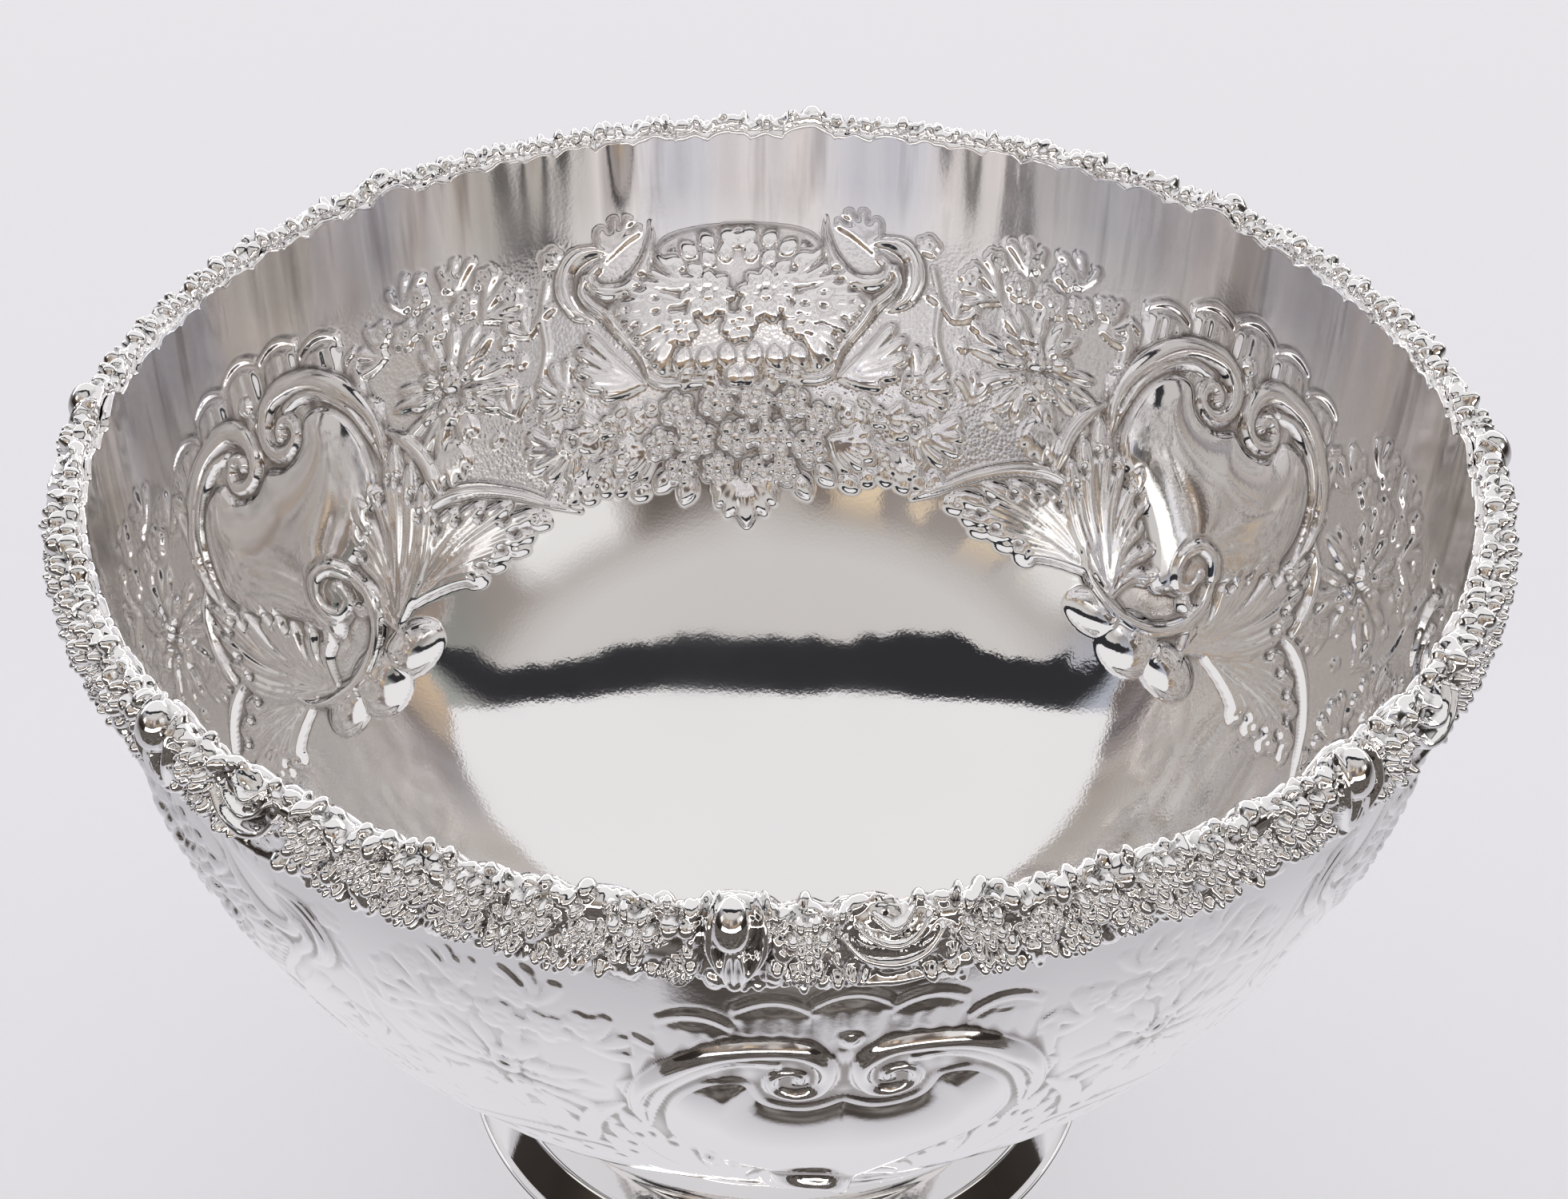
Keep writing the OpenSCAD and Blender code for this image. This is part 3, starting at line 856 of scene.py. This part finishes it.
def make_border(pattern):
    """The cast sections: the same casting turned round the rim, each closed by a back against the sheet."""
    grid_r, grid_z, phi = border_grid(pattern)
    rows = len(grid_r)
    i = np.arange(rows)[:, None] * BORDER_COLUMNS
    j = np.arange(BORDER_COLUMNS - 1)[None, :]
    below = (i + BORDER_COLUMNS) % (rows * BORDER_COLUMNS)
    quads = np.stack([i + j, below + j, below + j + 1, i + j + 1], -1).reshape(-1, 4)
    ends = [i.T, i.T[:, ::-1] + BORDER_COLUMNS - 1]
    # Painted shade: how far each point lies below the blurred pattern, which darkens the gaps between the
    # casting's motifs.
    crevice_shade = np.clip(blur(pattern.height, 3, 3, False) - pattern.height, 0, 2)
    crevice_shade = np.vstack([crevice_shade, np.zeros((BORDER_BACK_ROWS, BORDER_COLUMNS))])
    made = []
    for k in range(SECTIONS):
        a = np.radians(phi + 180.0 - k * SECTION_DEG) + 0 * grid_r
        points = ring_points(grid_r, grid_z, a)
        made.append(new_mesh(f"cast_border_{k + 1}", points, [quads, *ends], [("crevice_shade", crevice_shade)]))
        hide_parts(f"border_section_{k + 1}")
    return made


WIRE_RADIUS = 0.8
WIRE_COLUMNS, WIRE_SIDES = 2160, 10
WIRE_DROP = 0.7


def make_rim_wire():
    """The wire along the sheet's edge, following its waves."""
    a = around_ring(WIRE_COLUMNS)
    t = around_ring(WIRE_SIDES).T
    swell = WIRE_RADIUS * (1 + 0.12 * np.sin(176 * a) + 0.06 * np.sin(296 * a + 1))
    r = MOUTH_R + SHEET / 2 + swell * np.cos(t)
    z = MOUTH_Z - WIRE_DROP + scallop(np.degrees(a)) + swell * np.sin(t)
    faces = ring_faces(WIRE_SIDES + 1, WIRE_COLUMNS) % (WIRE_SIDES * WIRE_COLUMNS)
    return new_mesh("wavy_rim_wire", ring_points(r, z, a + 0 * t), [faces])


def arc(cx, cz, rx, rz, a0, a1, steps=24):
    """Points of an elliptic arc; angles in degrees from the radius outwards, up positive."""
    a = np.radians(np.linspace(a0, a1, steps))
    return [(cx + rx * math.cos(t), cz + rz * math.sin(t)) for t in a]


BASE_WIRE_H = 2.2
BASE_WIRE_W = 7.0
FOOT_T = 1.4
FOOT_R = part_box("base_wire")[1][0] * M_TO_MM
SKIRT_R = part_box("foot")[1][0] * M_TO_MM
RISER_H = 10.0
RISER_LEAN = 36.0
RISER_ROUND = 2.4
SHOULDER_W = 6.5
SHOULDER_RISE = 1
NECK_R = 57.0
NECK_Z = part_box("foot")[1][2] * M_TO_MM
COLLAR_LOW, COLLAR_HIGH = (np.array(corner) * M_TO_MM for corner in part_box("neck_collar"))
COLLAR_ROUND = 1.4


def foot_line(inset):
    """Outer line of the foot from skirt to neck, or its inner line when inset by the metal."""
    top_z = BASE_WIRE_H + RISER_H
    round_z = top_z - RISER_ROUND
    lean = math.radians(RISER_LEAN)
    round_x = SKIRT_R - (round_z - BASE_WIRE_H) * math.tan(lean) - RISER_ROUND / math.cos(lean)
    shoulder_r = round_x - SHOULDER_W
    bend_r = RISER_ROUND - inset
    skirt = np.array([SKIRT_R - inset / math.cos(lean), BASE_WIRE_H])
    bend = np.array([round_x + bend_r * math.cos(lean), round_z + bend_r * math.sin(lean)])
    riser = [tuple(skirt + t * (bend - skirt)) for t in (0, 0.03, 0.3, 0.7, 0.95)]
    cove_r, cove_h = shoulder_r - NECK_R + inset, NECK_Z - top_z - SHOULDER_RISE + inset
    return (riser + arc(round_x, round_z, bend_r, bend_r, RISER_LEAN, 90)
            + arc(shoulder_r, NECK_Z, cove_r, cove_h, -90, -180, 40))


def make_turned_pieces():
    """The foot, the wire it stands on, and the collar between it and the bowl."""
    foot = lathe("polished_foot", foot_line(0) + foot_line(FOOT_T)[::-1])
    h = BASE_WIRE_H / 2
    base = lathe("polished_base_wire", [
        (FOOT_R - BASE_WIRE_W, 0), (FOOT_R - h, 0), *arc(FOOT_R - h, h, h, h, -88, 88, 12),
        (FOOT_R - h, BASE_WIRE_H), (FOOT_R - BASE_WIRE_W, BASE_WIRE_H)])
    low = COLLAR_LOW[2]
    inner, outer = NECK_R - FOOT_T, COLLAR_HIGH[0] - COLLAR_ROUND
    sheet = [(r, sheet_side(r)) for r in np.linspace(outer, inner, 12)]
    mid = (low + sheet_side(outer)) / 2
    band_edge = arc(outer, mid, COLLAR_ROUND, sheet_side(outer) - mid, -88, 88, 14)
    collar = lathe("polished_collar", [(inner, low), (outer, low)] + band_edge + sheet)
    return foot, base, collar


def sheet_side(radius):
    """Height of the bowl's outside at a radius near its foot."""
    reach, deep = MOUTH_R + SHEET, DEPTH + SHEET
    return MOUTH_Z - deep * (1 - (radius / reach) ** FULLNESS) ** (1 / FULLNESS)


# ---- shader nodes

def node(tree, kind, inputs=(), **settings):
    """Adds a shader node with its sockets set or linked."""
    made = tree.nodes.new(kind)
    for key, value in settings.items():
        setattr(made, key, value)
    for key, value in dict(inputs).items():
        if isinstance(value, bpy.types.NodeSocket):
            tree.links.new(value, made.inputs[key])
        else:
            made.inputs[key].default_value = value
    return made


def maths(tree, operation, *values):
    """The output of a math node over sockets and numbers."""
    return node(tree, "ShaderNodeMath", dict(enumerate(values)), operation=operation).outputs[0]


def times(tree, a, b):
    """The product of two values."""
    return maths(tree, "MULTIPLY", a, b)


def ranged(tree, value, low, high, to_low=0.0, to_high=1.0, kind="LINEAR"):
    """The value moved from one range to another and kept inside it."""
    ends = {"Value": value, "From Min": low, "From Max": high, "To Min": to_low, "To Max": to_high}
    return node(tree, "ShaderNodeMapRange", ends, interpolation_type=kind).outputs["Result"]


def step(tree, value, low, high):
    """0 below low, 1 above high, smooth between."""
    return ranged(tree, value, low, high, kind="SMOOTHSTEP")


def band(tree, value, low, high, soft):
    """1 between low and high, 0 outside."""
    rise, fall = step(tree, value, low - soft, low + soft), step(tree, value, high + soft, high - soft)
    return times(tree, rise, fall)


def ramp(tree, value, stops):
    """A colour ramp from (place, colour) stops, its places scaled from any range."""
    low, high = stops[0][0], stops[-1][0]
    made = node(tree, "ShaderNodeValToRGB", {"Fac": ranged(tree, value, low, high)})
    elements = made.color_ramp.elements
    while len(elements) < len(stops):
        elements.new(0.5)
    for element, (place, colour) in zip(elements, stops):
        element.position = (place - low) / (high - low)
        element.color = (*colour, 1)
    return made.outputs["Color"]


def mix(tree, amount, a, b, blend="MIX"):
    """Blends two colours, each a socket or a tuple."""
    made = node(tree, "ShaderNodeMix", {"Factor": amount}, data_type="RGBA", blend_type=blend)
    for socket, colour in zip([s for s in made.inputs if s.type == "RGBA"], (a, b)):
        if isinstance(colour, bpy.types.NodeSocket):
            tree.links.new(colour, socket)
        else:
            socket.default_value = (*colour, 1)
    return next(s for s in made.outputs if s.type == "RGBA")


def noise(tree, place, scale, detail, roughness=0.5):
    """Cloudy values about 0.5."""
    settings = {"Vector": place, "Scale": scale, "Detail": detail, "Roughness": roughness}
    return node(tree, "ShaderNodeTexNoise", settings).outputs["Fac"]


def attribute(tree, name):
    """One of the values that the mesh carries at its points."""
    return node(tree, "ShaderNodeAttribute", attribute_name=name).outputs["Fac"]


def camera_axes(tree, place):
    """A place or direction turned so that y runs away from the camera, and its x, y and z."""
    turned = node(tree, "ShaderNodeVectorRotate", {"Vector": place, "Angle": math.radians(CAMERA_TURN)},
                  rotation_type="Z_AXIS").outputs["Vector"]
    axes = node(tree, "ShaderNodeSeparateXYZ", {"Vector": turned})
    return turned, *(axes.outputs[k] for k in "XYZ")


# ---- materials

# Painted reflection: upright streaks of lighter, darker and tinted colour for the plain band, standing in
# for the studio mirrored in it.
PAINTED_STREAKS = (
    (16.0, [(0.36, (0.72, 0.73, 0.80)), (0.46, (0.86, 0.87, 0.92)), (0.54, (1.0, 0.97, 0.96)),
            (0.68, (0.86, 0.84, 0.80))]),
    (110.0, [(0.34, (0.66, 0.64, 0.64)), (0.48, (1.0, 1.0, 1.0)), (0.66, (0.92, 0.91, 0.92))]),
)
LONG_UPRIGHT = (1.0, 1.0, 0.07)
CLOUD_TINT = 0.965
MATTED_ROUGHER = 0.06
BRUSHED_ROUGHER = 0.07


def silver(name, bright, rough, cloud_scale, grain, crevice_shade=None, embossed=False):
    """Polished silver plate: cloudy roughness from wiping and fine hairlines.

    The crevice argument is (colour, low, high): painted shade that darkens the colour in the crevices.
    Embossed sheet also has its matted ground and a plain band left rougher by polishing, whose upright
    streaks of light and dark are painted into its colour as reflection.
    """
    m = bpy.data.materials.new(name)
    m.use_nodes = True
    tree = m.node_tree
    shader = tree.nodes["Principled BSDF"]
    shader.inputs["Metallic"].default_value = 1.0
    place = node(tree, "ShaderNodeTexCoord").outputs["Object"]
    cloud = noise(tree, place, cloud_scale, 4.0)
    spread = ranged(tree, cloud, 0.3, 0.7, *rough)
    tone = mix(tree, cloud, bright, tuple(CLOUD_TINT * c for c in bright))
    if crevice_shade:
        # Painted shade: the colour goes towards the given dark colour where the hollows are deep.
        dark, low, high = crevice_shade
        tone = mix(tree, ranged(tree, attribute(tree, "crevice_shade"), low, high), tone, dark)
    fine = noise(tree, place, 900.0, 2.0)
    bump = node(tree, "ShaderNodeBump", {"Height": fine, "Strength": grain, "Distance": 0.0004})
    if embossed:
        ground, rubbed_and_painted_streaks = attribute(tree, "matted"), attribute(tree, "brushed_and_painted_streaks")
        spread = maths(tree, "MULTIPLY_ADD", ground, MATTED_ROUGHER, spread)
        spread = maths(tree, "MULTIPLY_ADD", rubbed_and_painted_streaks, BRUSHED_ROUGHER, spread)
        upright = node(tree, "ShaderNodeVectorMath", {0: place, 1: LONG_UPRIGHT}, operation="MULTIPLY")
        # Painted reflection: upright light and dark streaks multiplied into the colour of the plain band.
        for scale, stops in PAINTED_STREAKS:
            streaks = noise(tree, upright.outputs["Vector"], scale, 3.0)
            tone = mix(tree, rubbed_and_painted_streaks, tone, ramp(tree, streaks, stops), "MULTIPLY")
        pits = node(tree, "ShaderNodeTexVoronoi", {"Vector": place, "Scale": 800.0}).outputs["Distance"]
        bump = node(tree, "ShaderNodeBump", {"Height": times(tree, pits, ground), "Strength": 0.12,
                                             "Distance": 0.0006, "Normal": bump.outputs["Normal"]})
    tree.links.new(tone, shader.inputs["Base Color"])
    tree.links.new(spread, shader.inputs["Roughness"])
    tree.links.new(bump.outputs["Normal"], shader.inputs["Normal"])
    return m


def give(piece, material, body="root"):
    """Puts one material on a piece and lets it ride on a body."""
    piece.data.materials.clear()
    piece.data.materials.append(material)
    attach(piece, body)


# ---- camera, floor and light

PHOTO_W = 1961
CAMERA_TURN = 4.9
CAMERA_PITCH = 36.75
CAMERA_ROLL = 0.45
# The camera's place, worked out from the photo's perspective in radii of the mouth
CAMERA_RIGHT, CAMERA_BACK, CAMERA_UP = 0.0059 * MOUTH_R, 2.9338 * MOUTH_R, MOUTH_Z + 1.8655 * MOUTH_R
FOCAL_PX = 2929.0
SHIFT_PX = 5.2
SENSOR = 36.0


def make_camera():
    """The camera at the photo's angle and framing."""
    data = bpy.data.cameras.new("camera")
    data.sensor_width = SENSOR
    data.lens = FOCAL_PX / PHOTO_W * SENSOR
    data.shift_y = SHIFT_PX / PHOTO_W
    data.clip_start = 0.01
    camera = bpy.data.objects.new("camera", data)
    away = Matrix.Translation((CAMERA_RIGHT / M_TO_MM, -CAMERA_BACK / M_TO_MM, CAMERA_UP / M_TO_MM))
    place = Matrix.Rotation(math.radians(-CAMERA_TURN), 4, "Z") @ away
    camera.matrix_world = (place @ Matrix.Rotation(math.radians(90 - CAMERA_PITCH), 4, "X")
                           @ Matrix.Rotation(math.radians(CAMERA_ROLL), 4, "Z"))
    bpy.context.scene.collection.objects.link(camera)
    bpy.context.scene.camera = camera


FLOOR_HALF = 4
FLOOR_EDGE = -0.315
# Painted light fall-off: the floor's glow as the silver sees it, pale near the bowl and dimmer further out.
FLOOR_REFLECTION_FALLOFF = [(0.1, (0.74, 0.73, 0.76)), (0.20, (0.77, 0.76, 0.79)), (0.32, (0.58, 0.565, 0.60)),
                  (0.8, (0.44, 0.43, 0.45)), (1.6, (0.16, 0.145, 0.14))]
# Painted shade: the dark room past the floor's front edge, as the silver sees it.
DARK_ROOM = [(0.3, (0.05, 0.042, 0.037)), (0.5, (0.11, 0.095, 0.086)), (0.7, (0.24, 0.22, 0.205))]


def make_floor():
    """A pale table top, evenly bright for the camera. Glossy rays see it glow instead, as a painted
    reflection: dimming with distance from the bowl as painted light fall-off, and past an edge in front of
    it dark as a painted unlit room.
    """
    mesh = bpy.data.meshes.new("floor")
    corners = [(-1, -1), (1, -1), (1, 1), (-1, 1)]
    mesh.from_pydata([(FLOOR_HALF * x, FLOOR_HALF * y, 0) for x, y in corners], [], [(0, 1, 2, 3)])
    floor = bpy.data.objects.new("floor", mesh)
    bpy.context.scene.collection.objects.link(floor)
    m = bpy.data.materials.new("pale_floor")
    m.use_nodes = True
    tree = m.node_tree
    shader = tree.nodes["Principled BSDF"]
    shader.inputs["Base Color"].default_value = (0.60, 0.595, 0.62, 1)
    shader.inputs["Roughness"].default_value = 0.7
    place = node(tree, "ShaderNodeTexCoord").outputs["Object"]
    _, _, y, _ = camera_axes(tree, place)
    wander = noise(tree, place, 9.0, 2.0)
    beyond = step(tree, maths(tree, "MULTIPLY_ADD", wander, 0.08, y), FLOOR_EDGE + 0.055, FLOOR_EDGE + 0.02)
    distance = node(tree, "ShaderNodeVectorMath", {0: place}, operation="LENGTH").outputs["Value"]
    colour = mix(tree, beyond, ramp(tree, distance, FLOOR_REFLECTION_FALLOFF), ramp(tree, wander, DARK_ROOM))
    # Painted reflection: glossy rays see the floor glow with these colours instead of its lit surface.
    painted_reflection = node(tree, "ShaderNodeEmission", {"Color": colour}).outputs["Emission"]
    lit = node(tree, "ShaderNodeEmission", {"Color": (0.70, 0.69, 0.73, 1), "Strength": 0.5})
    direct = node(tree, "ShaderNodeAddShader", {0: shader.outputs["BSDF"], 1: lit.outputs["Emission"]})
    glossy = node(tree, "ShaderNodeLightPath").outputs["Is Glossy Ray"]
    surface = node(tree, "ShaderNodeMixShader", {0: glossy, 1: direct.outputs["Shader"], 2: painted_reflection})
    tree.links.new(surface.outputs["Shader"], tree.nodes["Material Output"].inputs["Surface"])
    mesh.materials.append(m)


NEAR_SIDE = [(-90, (0.03, 0.025, 0.02)), (-8, (0.03, 0.025, 0.02)), (8, (0.08, 0.07, 0.066)),
             (18, (0.19, 0.165, 0.155)), (26, (0.28, 0.24, 0.225)), (33, (0.34, 0.30, 0.28)),
             (38, (0.54, 0.51, 0.49)), (43, (0.62, 0.60, 0.585)), (64, (0.61, 0.585, 0.57)),
             (90, (0.84, 0.825, 0.84))]
FAR_SIDE = [(-90, (0.03, 0.025, 0.02)), (-6, (0.10, 0.09, 0.085)), (10, (0.38, 0.36, 0.36)),
            (28, (0.56, 0.535, 0.545)), (46, (0.60, 0.57, 0.575)), (62, (0.70, 0.65, 0.64)),
            (72, (0.82, 0.80, 0.81)), (90, (0.84, 0.825, 0.84))]
WARM_PATCHES = (((2.0, 60.0, 14.0), (13.0, 24.0, 5.0), 0.6, (0.62, 0.44, 0.27)),
                ((-75.0, -28.0, 12.0), (12.0, 22.0, 5.0), 0.45, (0.66, 0.52, 0.38)))
UPRIGHT_BARS = ((38.0, 66.0, 0.9, (0.86, 0.85, 0.84)), (16.0, 33.0, 0.85, (0.11, 0.09, 0.08)),
                (-3.0, 12.0, 0.7, (0.70, 0.65, 0.60)), (-24.0, -7.0, 0.7, (0.16, 0.12, 0.10)),
                (-74.0, -58.0, 0.8, (0.86, 0.85, 0.84)))
COOL_PATCHES = (((-128.0, -84.0, 12.0), (22.0, 40.0, 6.0), 0.6, (0.40, 0.45, 0.56)),
                ((82.0, 128.0, 14.0), (20.0, 34.0, 6.0), 0.55, (0.13, 0.19, 0.15)))
BEAM_TOP = 0.71


def make_world():
    """The studio that the silver mirrors: white overhead with a dark beam across it, dimmer walls all
    round with patches of colour, upright bars and a few bright strips, and a plain pale backdrop for the
    camera itself. Directions are in the camera's frame: turn is 0 towards the camera and 90 to its right,
    and level is the height above the horizon in degrees.
    """
    world = bpy.data.worlds.new("studio")
    bpy.context.scene.world = world
    world.use_nodes = True
    tree = world.node_tree
    place = node(tree, "ShaderNodeTexCoord").outputs["Generated"]
    turned, x, y, z = camera_axes(tree, place)
    level = maths(tree, "DEGREES", maths(tree, "ARCSINE", z))
    turn = maths(tree, "DEGREES", maths(tree, "ARCTAN2", x, times(tree, y, -1.0)))
    wobble = maths(tree, "SUBTRACT", noise(tree, turned, 2.6, 5.0, 0.55), 0.5)
    cloudy = noise(tree, turned, 6.0, 3.0)
    bars = maths(tree, "MULTIPLY_ADD", wobble, 30.0, turn)

    def over(room, mask, amount, colour):
        """The room with a colour laid over it where the mask is."""
        return mix(tree, times(tree, mask, amount), room, colour)

    def window(across, up, coordinate=turn):
        """A mask between two turns, or two values of another coordinate, and two levels."""
        return times(tree, band(tree, coordinate, *across), band(tree, level, *up))

    room = mix(tree, step(tree, y, -0.25, 0.35), ramp(tree, level, NEAR_SIDE), ramp(tree, level, FAR_SIDE))
    patchy = times(tree, step(tree, cloudy, 0.47, 0.62), step(tree, level, 31.0, 24.0))
    room = over(room, patchy, 0.55, (0.13, 0.118, 0.112))
    for across, up, amount, colour in WARM_PATCHES:
        room = over(room, window(across, up), amount, colour)
    for low, high, amount, colour in UPRIGHT_BARS:
        room = over(room, window((low, high, 4.0), (20.0, 34.0, 4.0), bars), amount, colour)
    gilt = times(tree, window((-60.0, -12.0, 8.0), (25.0, 34.0, 4.0), bars), step(tree, cloudy, 0.44, 0.56))
    room = over(room, gilt, 0.75, (0.92, 0.74, 0.52))
    for across, up, amount, colour in COOL_PATCHES:
        room = over(room, window(across, up), amount, colour)
    room = over(room, window((-0.75, 0.30, 0.2), (-12.0, 17.0, 8.0), y), 0.88, (0.022, 0.017, 0.014))
    height = maths(tree, "MULTIPLY_ADD", wobble, 0.14, maths(tree, "ADD", z, y))
    room = mix(tree, step(tree, height, 0.695, 0.712), room, (0.84, 0.82, 0.83))
    room = mix(tree, beam_mask(tree, turned, x, y, height), room, (0.030, 0.030, 0.034))
    side_boxes = window((-0.50, -0.20, 0.03), (17.0, 27.0, 1.5), y)
    room = mix(tree, side_boxes, room, (1.25, 1.24, 1.22))
    back_box = times(tree, band(tree, level, 3.0, 13.0, 1.5), step(tree, y, 0.36, 0.42))
    near_box = times(tree, band(tree, level, 1.0, 10.0, 1.5), step(tree, y, -0.62, -0.68))
    room = mix(tree, maths(tree, "MAXIMUM", back_box, near_box), room, (3.6, 3.55, 3.5))
    camera_ray = node(tree, "ShaderNodeLightPath").outputs["Is Camera Ray"]
    room = mix(tree, camera_ray, room, (0.75, 0.74, 0.78))
    tree.links.new(room, tree.nodes["Background"].inputs["Color"])


def beam_mask(tree, turned, x, y, height):
    """1 on the dark beam: a straight upper edge, a ragged lower one, and narrower towards its ends."""
    humps = maths(tree, "SUBTRACT", noise(tree, turned, 3.4, 3.0), 0.5)
    ragged = maths(tree, "MULTIPLY_ADD", humps, 0.42, height)
    outwards = step(tree, maths(tree, "ABSOLUTE", x), 0.42, 0.66)
    ragged = maths(tree, "MULTIPLY_ADD", outwards, -0.10, ragged)
    below_top = step(tree, height, BEAM_TOP + 0.006, BEAM_TOP - 0.006)
    beam = times(tree, step(tree, ragged, 0.405, 0.418), below_top)
    return times(tree, beam, step(tree, y, 0.14, 0.06))


# ---- assembly

make_camera()
make_floor()
make_world()
scene = bpy.context.scene
scene.view_settings.view_transform = "Standard"

# The dark colours given for crevices are painted shade: greyish on the embossed sheet, near black in the
# castings' gaps.
SHEET_SILVER = silver("embossed_silver", (0.945, 0.935, 0.93), (0.03, 0.09), 18.0, 0.03,
                      crevice_shade=((0.34, 0.31, 0.29), 0.25, 1.0), embossed=True)
CAST_SILVER = silver("cast_silver", (0.955, 0.945, 0.94), (0.03, 0.08), 30.0, 0.03,
                     crevice_shade=((0.07, 0.063, 0.06), 0.4, 2.0))
TURNED_SILVER = silver("polished_silver", (0.95, 0.94, 0.935), (0.02, 0.05), 12.0, 0.01)

bowl = make_bowl()
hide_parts("bowl")
give(bowl, SHEET_SILVER)
for section in make_border(border_pattern()):
    give(section, CAST_SILVER)
wire = make_rim_wire()
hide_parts("rim_wire")
give(wire, TURNED_SILVER)
for piece, cad_node, slot in zip(make_turned_pieces(), ("foot", "base_wire", "neck_collar"),
                                 ("spun_silver", "wire_silver", "wire_silver")):
    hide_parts(cad_node)
    give(piece, TURNED_SILVER)
